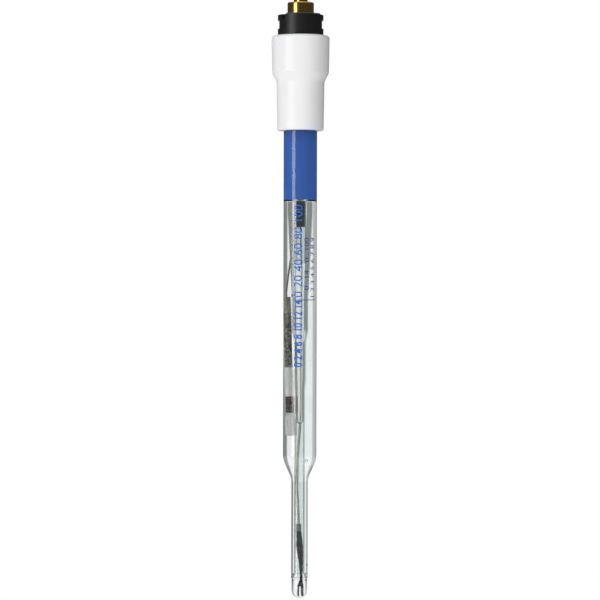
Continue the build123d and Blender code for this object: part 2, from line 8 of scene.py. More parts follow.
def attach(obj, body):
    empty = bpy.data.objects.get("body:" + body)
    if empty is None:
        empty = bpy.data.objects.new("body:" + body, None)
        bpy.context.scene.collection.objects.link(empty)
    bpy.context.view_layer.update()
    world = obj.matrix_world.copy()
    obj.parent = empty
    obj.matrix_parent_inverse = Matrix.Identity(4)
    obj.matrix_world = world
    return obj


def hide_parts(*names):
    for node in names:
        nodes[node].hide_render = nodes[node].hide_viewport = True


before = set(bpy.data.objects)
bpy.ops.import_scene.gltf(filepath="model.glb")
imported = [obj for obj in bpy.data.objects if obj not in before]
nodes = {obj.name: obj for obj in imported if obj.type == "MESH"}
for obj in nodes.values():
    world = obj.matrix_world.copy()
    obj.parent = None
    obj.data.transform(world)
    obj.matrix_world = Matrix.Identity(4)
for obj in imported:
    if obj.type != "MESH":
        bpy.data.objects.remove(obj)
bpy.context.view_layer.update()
scene = bpy.context.scene
millimetre = 0.001

print("stage 1: camera, lamps, world and floor")

# The photo is taken level, from the front, with a long lens and a hair of roll
camera = {
    "distance": 1.05,
    "height": -0.0608,
    "lens": 175.3,
    "sensor": 36.0,
    "clipStart": 0.01,
    "rollDegrees": 0.14,
}
cameraData = bpy.data.cameras.new("photoCamera")
cameraData.lens = camera["lens"]
cameraData.sensor_width = camera["sensor"]
cameraData.clip_start = camera["clipStart"]
photoCamera = bpy.data.objects.new("photoCamera", cameraData)
scene.collection.objects.link(photoCamera)
photoCamera.matrix_world = (
    Matrix.Translation((0, -camera["distance"], camera["height"]))
    @ Matrix.Rotation(math.radians(90), 4, "X")
    @ Matrix.Rotation(math.radians(camera["rollDegrees"]), 4, "Z")
)
scene.camera = photoCamera
scene.view_settings.view_transform = "Standard"

# Light crosses many walls of glass and liquid before it leaves them
scene.cycles.max_bounces = 24
scene.cycles.transmission_bounces = 24
scene.cycles.glossy_bounces = 8


def linearColour(code):
    channels = [int(code[i : i + 2], 16) / 255 for i in (0, 2, 4)]
    linear = [c / 12.92 if c <= 0.04045 else ((c + 0.055) / 1.055) ** 2.4 for c in channels]
    return (*linear, 1.0)


def addNode(tree, kind, inputs=None, **settings):
    # An input is a plain value, or a socket or a node that gets linked to it
    node = tree.nodes.new(kind)
    for key, value in settings.items():
        setattr(node, key, value)
    for key, value in (inputs or {}).items():
        if isinstance(value, bpy.types.Node):
            value = value.outputs[0]
        if isinstance(value, bpy.types.NodeSocket):
            tree.links.new(value, node.inputs[key])
        else:
            node.inputs[key].default_value = value
    return node


def mirrorOrGlass(tree, rays):
    # 1 for what is seen in a mirror or through glass
    return addNode(
        tree,
        "ShaderNodeMath",
        {0: rays["Is Glossy Ray"], 1: rays["Is Transmission Ray"]},
        operation="MAXIMUM",
    )


# Softboxes: name, place, aimed at, width, height, radiance, seen in reflections
softboxes = [
    ("keySoftbox", (-0.72, -0.69, -0.04), (0, 0, -0.06), 0.40, 0.52, 5.5, True),
    ("leftRearFill", (-1.04, 0.60, 0.0), (0, 0, -0.06), 0.90, 0.90, 2.2, False),
    ("frontFill", (0.30, -1.30, 0.1), (0, 0, -0.06), 0.80, 0.80, 4.0, False),
    ("topSoftbox", (-0.15, -0.25, 1.10), (0, 0, 0), 0.80, 0.80, 0.9, True),
]
for name, place, target, width, height, radiance, reflected in softboxes:
    lamp = bpy.data.lights.new(name, "AREA")
    lamp.shape = "RECTANGLE"
    lamp.size = width
    lamp.size_y = height
    lamp.energy = radiance * math.pi * width * height
    lampObject = bpy.data.objects.new(name, lamp)
    scene.collection.objects.link(lampObject)
    lampObject.location = place
    aim = Vector(target) - Vector(place)
    lampObject.rotation_euler = aim.to_track_quat("-Z", "Y").to_euler()
    lampObject.visible_camera = False
    lampObject.visible_glossy = reflected
    lampObject.visible_transmission = False

# The room: white walls on all sides and darker corners, which draw the edges of the glass.
# Corner and ceiling values are how bright they are, and where they start and end in the pattern.
room = {
    "ambient": 0.17,
    "reflected": 0.08,
    "insideReflected": 0.27,
    "insideLight": 3.5,
    "insideShade": 2.0,
    "insideTurn": 0.8,
    "leftRear": 0.58,
    "rightRear": 0.26,
    "leftFront": 0.7,
    "rightFront": 0.6,
    "cornerStart": 0.60,
    "cornerEnd": 0.74,
    "ceiling": 0.8,
    "ceilingStart": 0.45,
    "ceilingEnd": 0.75,
}
world = bpy.data.worlds.new("photoRoom")
scene.world = world
world.use_nodes = True
tree = world.node_tree
tree.nodes.clear()

generated = addNode(tree, "ShaderNodeTexCoord").outputs["Generated"]
toRight, toRear, upward = addNode(tree, "ShaderNodeSeparateXYZ", {0: generated}).outputs
# The squared sine of the doubled azimuth is 0 square to a wall and 1 in a corner
azimuth = addNode(tree, "ShaderNodeMath", {0: toRear, 1: toRight}, operation="ARCTAN2")
doubled = addNode(tree, "ShaderNodeMath", {0: azimuth, 1: 2.0}, operation="MULTIPLY")
sine = addNode(tree, "ShaderNodeMath", {0: doubled}, operation="SINE")
cornerness = addNode(tree, "ShaderNodeMath", {0: sine, 1: sine}, operation="MULTIPLY")
inCorner = addNode(
    tree,
    "ShaderNodeMapRange",
    {"Value": cornerness, "From Min": room["cornerStart"], "From Max": room["cornerEnd"]},
    interpolation_type="SMOOTHSTEP",
)
atRight = addNode(tree, "ShaderNodeMath", {0: toRight, 1: 0.0}, operation="GREATER_THAN")
atRear = addNode(tree, "ShaderNodeMath", {0: toRear, 1: 0.0}, operation="GREATER_THAN")
rearCorner = addNode(tree, "ShaderNodeMix", {0: atRight, 2: room["leftRear"], 3: room["rightRear"]})
frontCorner = addNode(tree, "ShaderNodeMix", {0: atRight, 2: room["leftFront"], 3: room["rightFront"]})
corner = addNode(tree, "ShaderNodeMix", {0: atRear, 2: frontCorner, 3: rearCorner})
walls = addNode(tree, "ShaderNodeMix", {0: inCorner, 2: 1.0, 3: corner})
overhead = addNode(
    tree,
    "ShaderNodeMapRange",
    {"Value": upward, "From Min": room["ceilingStart"], "From Max": room["ceilingEnd"]},
)
seenThrough = addNode(tree, "ShaderNodeMix", {0: overhead, 2: walls, 3: room["ceiling"]})

# What reflects sees a darker room, so that metal and glass keep their dark lines
rays = addNode(tree, "ShaderNodeLightPath").outputs
throughGlass = addNode(
    tree, "ShaderNodeMath", {0: rays["Transmission Depth"], 1: 0.5}, operation="GREATER_THAN"
)
darkWalls = addNode(
    tree, "ShaderNodeMix", {0: throughGlass, 2: room["reflected"], 3: room["insideReflected"]}
)
darkRoom = addNode(tree, "ShaderNodeMix", {0: overhead, 2: darkWalls, 3: room["ceiling"]})
mirrored = addNode(tree, "ShaderNodeMath", {0: rays["Glossy Depth"], 1: 0.5}, operation="GREATER_THAN")
clearOrMirrored = addNode(tree, "ShaderNodeMix", {0: mirrored, 2: seenThrough, 3: darkRoom})

# The softboxes don't reach through glass, so what stands inside it gets their light from here
lightSide = addNode(
    tree,
    "ShaderNodeMapRange",
    {"Value": toRight, "From Min": -room["insideTurn"], "From Max": room["insideTurn"]},
)
insideLight = addNode(
    tree, "ShaderNodeMix", {0: lightSide, 2: room["insideLight"], 3: room["insideShade"]}
)
scattered = addNode(tree, "ShaderNodeMath", {0: rays["Diffuse Depth"], 1: 0.5}, operation="GREATER_THAN")
roomLight = addNode(tree, "ShaderNodeMix", {0: scattered, 2: clearOrMirrored, 3: insideLight})
sharp = mirrorOrGlass(tree, rays)
level = addNode(tree, "ShaderNodeMix", {0: sharp, 2: room["ambient"], 3: roomLight})
level = addNode(tree, "ShaderNodeMix", {0: rays["Is Camera Ray"], 2: level, 3: 1.0})
background = addNode(tree, "ShaderNodeBackground", {"Color": (1, 1, 1, 1), "Strength": level})
addNode(tree, "ShaderNodeOutputWorld", {"Surface": background})

# A round pale floor, well under the hanging electrode, that turns into the white of the room towards its rim
floor = {
    "height": -0.32,
    "radius": 1.45,
    "glowStart": 0.25,
    "glowEnd": 0.8,
    "nearGlow": 0.75,
    "colour": "f2f2f2",
}
floorMesh = bmesh.new()
bmesh.ops.create_circle(floorMesh, cap_ends=True, segments=96, radius=floor["radius"])
bmesh.ops.translate(floorMesh, vec=(0, 0, floor["height"]), verts=floorMesh.verts)
bmesh.ops.recalc_face_normals(floorMesh, faces=floorMesh.faces)
if sum(face.normal.z for face in floorMesh.faces) < 0:
    bmesh.ops.reverse_faces(floorMesh, faces=floorMesh.faces)
floorData = bpy.data.meshes.new("studioFloor")
floorMesh.to_mesh(floorData)
floorMesh.free()
studioFloor = bpy.data.objects.new("studioFloor", floorData)
scene.collection.objects.link(studioFloor)
paper = bpy.data.materials.new("whitePaperFloor")
paper.use_nodes = True
tree = paper.node_tree
tree.nodes.clear()
place = addNode(tree, "ShaderNodeTexCoord").outputs["Object"]
flat = addNode(tree, "ShaderNodeVectorMath", {0: place, 1: (1, 1, 0)}, operation="MULTIPLY")
distance = addNode(tree, "ShaderNodeVectorMath", {0: flat}, operation="LENGTH").outputs["Value"]
fade = addNode(
    tree,
    "ShaderNodeMapRange",
    {"Value": distance, "From Min": floor["glowStart"], "From Max": floor["glowEnd"]},
    interpolation_type="SMOOTHSTEP",
)
glowShare = addNode(tree, "ShaderNodeMix", {0: fade, 2: floor["nearGlow"], 3: 1.0})
rays = addNode(tree, "ShaderNodeLightPath").outputs
sharp = mirrorOrGlass(tree, rays)
seen = addNode(tree, "ShaderNodeMath", {0: sharp, 1: rays["Is Camera Ray"]}, operation="MAXIMUM")
whiteShare = addNode(tree, "ShaderNodeMath", {0: seen, 1: glowShare}, operation="MULTIPLY")
litPaper = addNode(tree, "ShaderNodeBsdfDiffuse", {"Color": linearColour(floor["colour"])})
glow = addNode(tree, "ShaderNodeEmission", {"Color": (1, 1, 1, 1), "Strength": 1.0})
paperShader = addNode(tree, "ShaderNodeMixShader", {0: whiteShare, 1: litPaper, 2: glow})
addNode(tree, "ShaderNodeOutputMaterial", {"Surface": paperShader})
floorData.materials.append(paper)

print("stage 2: materials")


def newMaterial(name, colour=None, **sockets):
    material = bpy.data.materials.new(name)
    material.use_nodes = True
    shader = material.node_tree.nodes["Principled BSDF"]
    if colour:
        shader.inputs["Base Color"].default_value = linearColour(colour)
    for key, value in sockets.items():
        shader.inputs[key.replace("_", " ")].default_value = value
    return material


def feed(material, socketName, source):
    tree = material.node_tree
    tree.links.new(source.outputs[0], tree.nodes["Principled BSDF"].inputs[socketName])


def blotches(material, across, along=None, detail=2.0):
    # Soft noise on the piece's own place: sizes of a blotch in millimetres, across and along the axis
    tree = material.node_tree
    scale = [1 / (size * millimetre) for size in (across, across, along or across)]
    place = addNode(tree, "ShaderNodeTexCoord").outputs["Object"]
    scaled = addNode(tree, "ShaderNodeMapping", {"Vector": place, "Scale": scale})
    return addNode(tree, "ShaderNodeTexNoise", {"Vector": scaled, "Scale": 1.0, "Detail": detail})


def grains(material, size):
    # Packed grains of a size in millimetres: the shade of each, and how far a point is from its middle
    tree = material.node_tree
    place = addNode(tree, "ShaderNodeTexCoord").outputs["Object"]
    cells = addNode(tree, "ShaderNodeTexVoronoi", {"Vector": place, "Scale": 1 / (size * millimetre)})
    shade = addNode(tree, "ShaderNodeSeparateColor", {0: cells.outputs["Color"]})
    return shade, cells.outputs["Distance"]


def addRelief(material, height, depth):
    depthInMetres = depth * millimetre
    bump = addNode(
        material.node_tree, "ShaderNodeBump", {"Height": height, "Strength": 1.0, "Distance": depthInMetres}
    )
    feed(material, "Normal", bump)


def addShades(material, pattern, steps):
    ramp = addNode(material.node_tree, "ShaderNodeValToRGB", {"Fac": pattern})
    elements = ramp.color_ramp.elements
    while len(elements) < len(steps):
        elements.new(0.5)
    for element, (position, code) in zip(elements, steps):
        element.position = position
        element.color = linearColour(code)
    feed(material, "Base Color", ramp)


def addRoughness(material, pattern, smoothest, roughest):
    spread = addNode(
        material.node_tree, "ShaderNodeMapRange", {"Value": pattern, "To Min": smoothest, "To Max": roughest}
    )
    feed(material, "Roughness", spread)


# Borosilicate glass, drawn and fire-polished: water-clear, its walls show only as dark and bright edge lines
clearGlass = {"Roughness": 0.0, "IOR": 1.47, "Transmission_Weight": 1.0}
shaftGlass = newMaterial("drawnBorosilicateGlass", "fbfdfd", **clearGlass)
stemGlass = newMaterial("drawnStemGlass", "fbfdfd", **clearGlass)

# Lithium glass, blown thin: as clear as the tube, a touch denser
membraneGlass = newMaterial("blownMembraneGlass", "fcfdfd", Roughness=0.0, IOR=1.5, Transmission_Weight=1.0)

# Glass of the cartridge: it stands in the filling, so it has the ratio of the two indices and nearly vanishes
cartridgeGlass = newMaterial(
    "immersedCartridgeGlass", "f8fafa", Roughness=0.0, IOR=1.10, Transmission_Weight=1.0
)

# Potassium chloride gel and buffer: clear as water, they magnify what stands in them
clearLiquid = {"Roughness": 0.0, "IOR": 1.34, "Transmission_Weight": 1.0}
electrolyteLiquid = newMaterial("potassiumChlorideGel", "fdfefe", **clearLiquid)
bufferLiquid = newMaterial("clearBuffer", "fdfefe", **clearLiquid)

# Clear fluoropolymer hose, extruded: a trace of haze in its gloss
clearPlastic = newMaterial("extrudedClearTube", "f4f5f4", Roughness=0.04, IOR=1.36, Transmission_Weight=1.0)

# Polypropylene sleeve, extruded and dyed: even deep blue with faint streaks along the tube
bluePlastic = newMaterial("extrudedBluePolypropylene", Roughness=0.35, IOR=1.49)
streaks = blotches(bluePlastic, across=1.2, along=25, detail=3.0)
addShades(bluePlastic, streaks, [(0.3, "0c4a98"), (0.7, "1454a6")])

# ABS head, injection moulded and satin: near white, with the finest spark-eroded grain
whiteAbs = newMaterial("satinMouldedAbs", "f0f0f1", Roughness=0.38, IOR=1.53)
addRelief(whiteAbs, blotches(whiteAbs, across=0.22, detail=4.0), 0.006)

# Glass-filled nylon collar, moulded: black satin with a soft grain
blackNylon = newMaterial("mouldedBlackNylon", "0d0d0f", Roughness=0.42, IOR=1.53)
grain = blotches(blackNylon, across=0.3, detail=5.0)
addRelief(blackNylon, grain, 0.01)
addRoughness(blackNylon, grain, 0.36, 0.5)

# Brass contacts, turned and thinly gilded: warm mirror with fine turning rings
turnedBrass = newMaterial("turnedGildedBrass", "c9a25c", Metallic=1.0, Roughness=0.2)
rings = blotches(turnedBrass, across=8, along=0.12)
addRelief(turnedBrass, rings, 0.004)
addRoughness(turnedBrass, rings, 0.14, 0.28)

# Turned insulator plastic, dark and dull with turning rings, and moulded rubber with a fine tooth
insulatorPlastic = newMaterial("turnedPeekInsulator", "1d1d1f", Roughness=0.5)
addRelief(insulatorPlastic, blotches(insulatorPlastic, across=5, along=0.15), 0.005)
sealRubber = newMaterial("mouldedSealRubber", "1a1a1a", Roughness=0.6)
addRelief(sealRubber, blotches(sealRubber, across=0.4), 0.006)

# Silicone, cement and resin inside the head: soft and pale, coarse and matt, dark and glossy
siliconeRubber = newMaterial("mouldedSilicone", "dcdcd8", Roughness=0.45)
addRelief(siliconeRubber, blotches(siliconeRubber, across=0.5), 0.008)
setCement = newMaterial("setCement", "cfcdc6", Roughness=0.85)
addRelief(setCement, blotches(setCement, across=0.3, detail=6.0), 0.03)
castResin = newMaterial("castPottingResin", "3a3a3c", Roughness=0.2)
addRelief(castResin, blotches(castResin, across=3.0), 0.05)

# PVC lead jacket and wire insulation, extruded: the black one hardly shines in the glass,
# and the ivory one has pale streaks
blackJacket = newMaterial("extrudedBlackPvc", "0e0e12", Roughness=0.4, Specular_IOR_Level=0.15)
addRelief(blackJacket, blotches(blackJacket, across=0.3, along=12), 0.02)
ivoryInsulation = newMaterial("extrudedIvoryInsulation", Roughness=0.5)
streaks = blotches(ivoryInsulation, across=0.5, along=9, detail=3.0)
addShades(ivoryInsulation, streaks, [(0.35, "dad6ba"), (0.62, "efecda")])
redInsulation = newMaterial("extrudedRedInsulation", "8c2f2a", Roughness=0.45)
addRelief(redInsulation, blotches(redInsulation, across=0.4, along=8), 0.01)

# Silver wire, drawn and tarnished: olive grey metal
silverWire = newMaterial("tarnishedSilverWire", Metallic=0.85, Roughness=0.35)
tarnish = blotches(silverWire, across=1.5, detail=4.0)
addShades(silverWire, tarnish, [(0.35, "77745f"), (0.65, "a8a68f")])

# Tinned copper ferrule, crimped: dull grey metal
tinnedFerrule = newMaterial("crimpedTinnedFerrule", "9fa6a6", Metallic=0.7, Roughness=0.45)
addRelief(tinnedFerrule, blotches(tinnedFerrule, across=0.4, detail=4.0), 0.02)

# Silver chloride, baked on: black and crusty, wetted so it hardly shines, with small olive flecks
bakedCoat = newMaterial("bakedSilverChloride", Roughness=0.8, Specular_IOR_Level=0.08)
crust = blotches(bakedCoat, across=0.5, detail=6.0)
addShades(bakedCoat, crust, [(0.4, "040404"), (0.58, "121211"), (0.72, "2c2b24")])
addRelief(bakedCoat, crust, 0.06)

# Packed granules of the cartridge: grey-brown grains of 0.4 mm, each with its own shade
granuleFill = newMaterial("packedSilverChlorideGranules", Roughness=0.75)
shade, fromMiddle = grains(granuleFill, size=0.42)
grainShades = [(0.0, "3d3c33"), (0.35, "5f5f57"), (0.6, "6f6e64"), (0.85, "9a998c"), (1.0, "b5b4a6")]
addShades(granuleFill, shade, grainShades)
addRelief(granuleFill, fromMiddle, -0.08)

# Dark granules of the trap: warm brown grains of half a millimetre
trapGranules = newMaterial("packedTrapGranules", Roughness=0.7)
shade, fromMiddle = grains(trapGranules, size=0.5)
addShades(trapGranules, shade, [(0.0, "2b2320"), (0.5, "52453c"), (1.0, "756456")])
addRelief(trapGranules, fromMiddle, -0.06)

# Packed fibre, white and olive: matt, with soft tufts
whiteFibre = newMaterial("packedWhiteFibre", Roughness=0.9)
tufts = blotches(whiteFibre, across=0.35, detail=6.0)
addShades(whiteFibre, tufts, [(0.3, "dddcd6"), (0.7, "f4f3ef")])
addRelief(whiteFibre, tufts, 0.05)
oliveFibre = newMaterial("packedOliveFibre", Roughness=0.9)
tufts = blotches(oliveFibre, across=0.45, detail=6.0)
addShades(oliveFibre, tufts, [(0.3, "7f7f6c"), (0.7, "acac98")])
addRelief(oliveFibre, tufts, 0.05)

# Sintered frit, pale, and ceramic junction, dark: both matt with fine pores
sinteredFrit = newMaterial("sinteredFrit", Roughness=0.85)
pores = blotches(sinteredFrit, across=0.25, detail=4.0)
addShades(sinteredFrit, pores, [(0.35, "bdbdbb"), (0.65, "d3d3d1")])
addRelief(sinteredFrit, pores, 0.03)
porousCeramic = newMaterial("porousJunctionCeramic", "3a3633", Roughness=0.8)
addRelief(porousCeramic, blotches(porousCeramic, across=0.15), 0.02)

# Fired glass ink, screen printed: flat strong blue with the faintest mottle
boldInk = newMaterial("screenPrintedBrightBlueInk", "1a63c6", Roughness=0.4)
addRelief(boldInk, blotches(boldInk, across=0.2), 0.003)
fineInk = newMaterial("screenPrintedDarkBlueInk", "1c4a8c", Roughness=0.4)
addRelief(fineInk, blotches(fineInk, across=0.2), 0.003)

print("stage 3: CAD nodes that stay get their finish")

finishes = {
    "reference_wire": silverWire,
    "cartridge_frit": sinteredFrit,
    "ion_trap": trapGranules,
    "cartridge_plug": whiteFibre,
    "cartridge_fill": granuleFill,
    "cartridge_packing": oliveFibre,
    "lead_jacket": blackJacket,
    "signal_wire": ivoryInsulation,
    "shaft_stopper": siliconeRubber,
    "stem_stopper": siliconeRubber,
    "shaft_cement": setCement,
    "head_shell": whiteAbs,
    "coupling_body": blackNylon,
    "coupling_seal": sealRubber,
    "outer_contact_ring": turnedBrass,
    "outer_insulator": insulatorPlastic,
    "inner_contact_ring": turnedBrass,
    "inner_insulator": insulatorPlastic,
    "centre_contact": turnedBrass,
    "reference_lead": redInsulation,
    "screen_lead": redInsulation,
    "head_potting": castResin,
}
for nodeName, material in finishes.items():
    nodeMesh = nodes[nodeName].data
    nodeMesh.materials.clear()
    nodeMesh.materials.append(material)

print("stage 4: glass tubes and their fillings")

# Steps of a full turn, the distance in millimetres at which points merge,
# and how much a full round stays short of its radius
turnSteps = 128
weld = 0.0008
slack = 0.001


def roundCorner(bm, vert, radius, segments):
    before, after = (e.other_vert(vert).co - vert.co for e in vert.link_edges)
    turn = math.pi - before.angle(after)
    bmesh.ops.bevel(
        bm,
        geom=[vert],
        offset=radius * math.tan(turn / 2),
        offset_type="OFFSET",
        segments=segments,
        profile=0.5,
        affect="VERTICES",
        clamp_overlap=False,
        material=-1,
    )


def spinOutline(corners, closed=True, roundSegments=12, steps=turnSteps):
    # corners are (radius, height) or (radius, height, rounding), in millimetres
    bm = bmesh.new()
    verts = [bm.verts.new((corner[0], 0, corner[1])) for corner in corners]
    pairs = list(zip(verts, verts[1:]))
    if closed:
        pairs.append((verts[-1], verts[0]))
    for first, second in pairs:
        bm.edges.new((first, second))
    for vert, corner in zip(verts, corners):
        if len(corner) == 3:
            roundCorner(bm, vert, corner[2], roundSegments)
    bmesh.ops.spin(
        bm,
        geom=bm.verts[:] + bm.edges[:],
        cent=(0, 0, 0),
        axis=(0, 0, 1),
        dvec=(0, 0, 0),
        angle=math.tau,
        steps=steps,
        use_merge=True,
        use_duplicate=False,
    )
    bmesh.ops.remove_doubles(bm, verts=bm.verts, dist=weld)
    bmesh.ops.recalc_face_normals(bm, faces=bm.faces)
    return bm


def plainTube(outer, inner, top, bottom, steps):
    return spinOutline([(outer, top), (outer, bottom), (inner, bottom), (inner, top)], steps=steps)


def addPiece(name, bm, material, slot, *replaced, sharpDegrees=38):
    # Pieces are modelled in millimetres
    bmesh.ops.scale(bm, vec=[millimetre] * 3, verts=bm.verts)
    mesh = bpy.data.meshes.new(name)
    bm.to_mesh(mesh)
    bm.free()
    mesh.shade_smooth()
    mesh.set_sharp_from_angle(angle=math.radians(sharpDegrees))
    mesh.materials.append(material)
    piece = bpy.data.objects.new(name, mesh)
    scene.collection.objects.link(piece)
    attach(piece, "root")
    if replaced:
        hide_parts(*replaced)


# Glass shaft with its shoulder and the tube of the tip
shaft = {
    "radius": 6.0,
    "wall": 1.0,
    "top": 12.0,
    "neckRadius": 5.75,
    "neckStart": -0.15,
    "shoulderTop": -118.05,
    "shoulderBottom": -124.9,
    "shoulderRound": 9.0,
    "tipRound": 6.0,
    "tipRadius": 2.95,
    "tipWall": 0.65,
    "end": -160.4,
}
# How far a filling reaches into the glass that it wets, so that light passes as through one joint
contact = 0.02
bore = shaft["radius"] - shaft["wall"]
tipBore = shaft["tipRadius"] - shaft["tipWall"]
shaftOutline = [
    (shaft["neckRadius"], shaft["top"]),
    (shaft["neckRadius"], shaft["neckStart"]),
    (shaft["radius"], shaft["neckStart"]),
    (shaft["radius"], shaft["shoulderTop"], shaft["shoulderRound"]),
    (shaft["tipRadius"], shaft["shoulderBottom"], shaft["tipRound"]),
    (shaft["tipRadius"], shaft["end"]),
    (tipBore, shaft["end"]),
    (tipBore, shaft["shoulderBottom"], shaft["tipRound"] + shaft["tipWall"]),
    (bore, shaft["shoulderTop"], shaft["shoulderRound"] - shaft["wall"]),
    (bore, shaft["top"]),
]
addPiece("glassShaft", spinOutline(shaftOutline), shaftGlass, "shaft_glass", "outer_glass")

# The stem's levels, each with its outer radius, its inner radius and the rounding that the flame left
stem = {
    "levels": [15.0, -30.0, -60.0, -71.6, -75.9, -88.8, -93.9],
    "outer": [3.3, 3.3, 2.2, 2.2, 1.65, 1.65, 1.4],
    "inner": [2.85, 2.85, 1.75, 1.75, 1.25, 1.25, 1.05],
    "rounds": [None, 12.0, 12.0, 3.0, 3.0, 3.0, 3.0],
    "channelBottom": -159.2,
    "channelRound": 0.45,
    "flareCorner": -159.396,
    "flareRound": 4.0,
    "neckRadius": 1.7,
}


def stemSide(radii, offset, first=0):
    side = []
    for height, radius, rounding in list(zip(stem["levels"], radii, stem["rounds"]))[first:]:
        side.append((radius + offset, height, rounding) if rounding else (radius + offset, height))
    return side


outerSide = stemSide(stem["outer"], 0) + [
    (stem["outer"][-1], stem["channelBottom"], stem["channelRound"]),
    (tipBore, stem["channelBottom"], stem["channelRound"] - slack),
    (tipBore, stem["channelBottom"] + stem["channelRound"]),
    (tipBore + contact, stem["channelBottom"] + stem["channelRound"]),
    (tipBore + contact, shaft["end"]),
    (stem["neckRadius"], shaft["end"]),
]
innerSide = stemSide(stem["inner"], 0) + [(stem["inner"][-1], stem["flareCorner"], stem["flareRound"])]
addPiece("innerStem", spinOutline(outerSide + innerSide[::-1]), stemGlass, "stem_glass", "inner_stem")

# Membrane: a thin bulb, blown from the seal
bulb = {
    "radius": 2.8,
    "wall": 0.35,
    "bottom": -167.9,
    "neckHeight": 0.5,
    "neckRound": 0.5,
    "shoulderHeight": 0.9,
    "shoulderRound": 0.8,
    "blownHeight": 0.4,
    "blownRound": 1.2,
}
bulbBore = bulb["radius"] - bulb["wall"]
neckEnd = shaft["end"] - bulb["neckHeight"]
hollowStart = neckEnd - bulb["shoulderHeight"]
hollowBottom = bulb["bottom"] + bulb["wall"]
bulbOutline = [
    (0, bulb["bottom"]),
    (bulb["radius"], bulb["bottom"], bulb["radius"] - slack),
    (bulb["radius"], neckEnd - bulb["blownHeight"], bulb["blownRound"]),
    (shaft["tipRadius"], shaft["end"]),
    (stem["neckRadius"], shaft["end"]),
    (stem["neckRadius"], neckEnd, bulb["neckRound"]),
    (bulbBore, hollowStart, bulb["shoulderRound"]),
    (bulbBore, hollowBottom, bulbBore - slack),
    (0, hollowBottom),
]
bulbMesh = spinOutline(bulbOutline, closed=False, roundSegments=16)
addPiece("glassMembrane", bulbMesh, membraneGlass, "membrane_glass", "glass_membrane")

# Buffer in the stem and the bulb, with a rounded level
buffer = {"level": -105.2, "rise": 0.8, "levelRound": 1.087, "levelCorner": 0.83}
stemBore = stem["inner"][-1]
bufferOutline = [
    (0, buffer["level"]),
    (buffer["levelCorner"], buffer["level"], buffer["levelRound"]),
    (stemBore + contact, buffer["level"] + buffer["rise"]),
    (stemBore + contact, stem["flareCorner"], stem["flareRound"]),
    (stem["neckRadius"] + contact, shaft["end"]),
    (stem["neckRadius"] + contact, neckEnd, bulb["neckRound"]),
    (bulbBore + contact, hollowStart, bulb["shoulderRound"]),
    (bulbBore + contact, hollowBottom - contact, bulbBore),
    (0, hollowBottom - contact),
]
bufferMesh = spinOutline(bufferOutline, closed=False)
addPiece("innerBuffer", bufferMesh, bufferLiquid, "buffer_filling", "inner_buffer")

# Electrolyte round the stem, from below the blue sleeve down to the seal, with one small bubble left in it
electrolyte = {
    "level": -25.5,
    "rise": 0.6,
    "levelInset": 0.5,
    "levelRound": 0.7,
    "bubblePlace": (2.1, -2.6, -118.25),
    "bubbleRadius": 0.55,
}
levelEdge = electrolyte["level"] + electrolyte["rise"]
wetOuter = stem["outer"][0] - contact
electrolyteOutline = [
    (wetOuter, levelEdge),
    (wetOuter + electrolyte["levelInset"], electrolyte["level"], electrolyte["levelRound"]),
    (bore + contact - electrolyte["levelInset"], electrolyte["level"], electrolyte["levelRound"]),
    (bore + contact, levelEdge),
    (bore + contact, shaft["shoulderTop"], shaft["shoulderRound"] - shaft["wall"]),
    (tipBore + contact, shaft["shoulderBottom"], shaft["tipRound"] + shaft["tipWall"]),
    (tipBore + contact, stem["channelBottom"] - contact, stem["channelRound"] + contact),
    (stem["outer"][-1] - contact, stem["channelBottom"] - contact, stem["channelRound"]),
] + stemSide(stem["outer"], -contact, first=1)[::-1]
electrolyteMesh = spinOutline(electrolyteOutline)
bubble = bmesh.ops.create_icosphere(
    electrolyteMesh,
    subdivisions=4,
    radius=electrolyte["bubbleRadius"],
    matrix=Matrix.Translation(electrolyte["bubblePlace"]),
)
# The bubble is a hole in the filling, so it faces inwards
bubbleFaces = {face for vert in bubble["verts"] for face in vert.link_faces}
bmesh.ops.reverse_faces(electrolyteMesh, faces=list(bubbleFaces))
addPiece(
    "referenceElectrolyte",
    electrolyteMesh,
    electrolyteLiquid,
    "electrolyte_filling",
    "reference_electrolyte",
)

# Clear tube round the lead
leadTube = {"radius": 2.2, "wall": 0.25, "top": 11.0, "bottom": -47.7}
leadBore = leadTube["radius"] - leadTube["wall"]
leadTubeMesh = plainTube(leadTube["radius"], leadBore, leadTube["top"], leadTube["bottom"], steps=96)
addPiece("leadTube", leadTubeMesh, clearPlastic, "clear_plastic", "lead_tube")

# Blue sleeve, pressed to the bore of the shaft
sleeve = {"innerRadius": 3.8, "top": 8.0, "bottom": -24.9}
sleeveMesh = plainTube(bore + contact, sleeve["innerRadius"], sleeve["top"], sleeve["bottom"], steps=96)
addPiece("blueSleeve", sleeveMesh, bluePlastic, "blue_plastic", "blue_sleeve")

# Tube of the reference cartridge, leaning; its bore closes on the fillings, so they show as wetted
cartridge = {
    "foot": (-2.1, 1.9, -109.5),
    "head": (-3.38, 1.25, -59.7),
    "radius": 1.15,
    "bore": 0.88,
    "start": 7.2,
}
foot = Vector(cartridge["foot"])
lean = Vector(cartridge["head"]) - foot
tubeMesh = plainTube(cartridge["radius"], cartridge["bore"], lean.length, cartridge["start"], steps=64)
leaning = Matrix.Translation(foot) @ Vector((0, 0, 1)).rotation_difference(lean).to_matrix().to_4x4()
bmesh.ops.transform(tubeMesh, matrix=leaning, verts=tubeMesh.verts)
addPiece("cartridgeTube", tubeMesh, cartridgeGlass, "cartridge_glass", "cartridge_tube")

